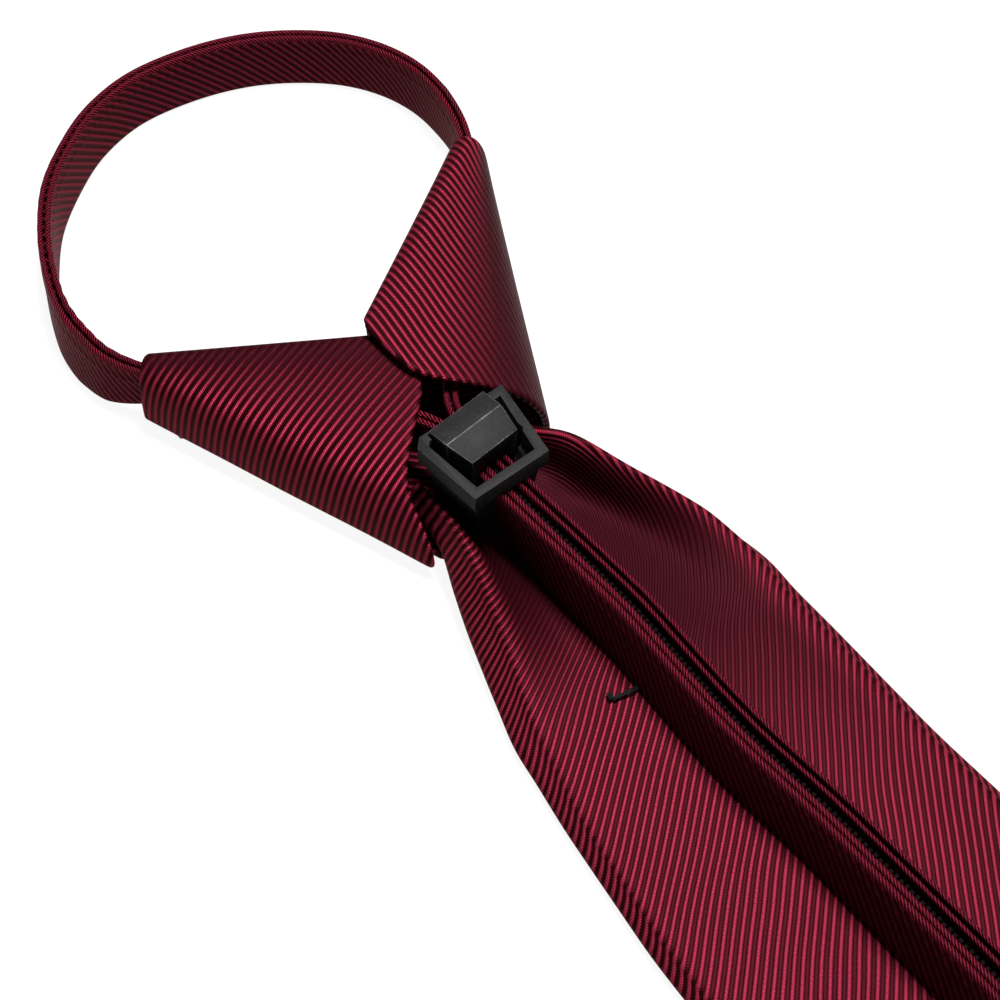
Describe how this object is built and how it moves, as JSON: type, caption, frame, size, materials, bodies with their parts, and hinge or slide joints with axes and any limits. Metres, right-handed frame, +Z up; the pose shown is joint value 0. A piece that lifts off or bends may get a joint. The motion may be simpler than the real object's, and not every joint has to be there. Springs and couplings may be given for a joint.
{
  "type": "zipper tie",
  "caption": "Ready-knotted zipper tie in ribbed twill, lying face down, with a zip neck loop, a plastic knot core and a pointed blade.",
  "frame": {"origin": "middle of the tie's box, on the surface that it lies on", "axes": "+Y from the blade's tip through the knot to the neck loop, +Z up from the front of the tie to its back"},
  "size_m": [0.1096, 0.5902, 0.0289],
  "materials": {
    "ribbed_twill": "ribbed silky twill",
    "zip_plastic": "matte",
    "core_plastic": "matte, finely speckled"
  },
  "bodies": {
    "root": {"blade": "ribbed_twill", "knot_front": "ribbed_twill", "left_wing": "ribbed_twill", "right_wing": "ribbed_twill", "neckband": "ribbed_twill", "tail_left": "ribbed_twill", "tail_right": "ribbed_twill", "zipper_chain": "zip_plastic", "knot_core": "core_plastic", "slider_housing": "core_plastic"}
  },
  "joints": []
}
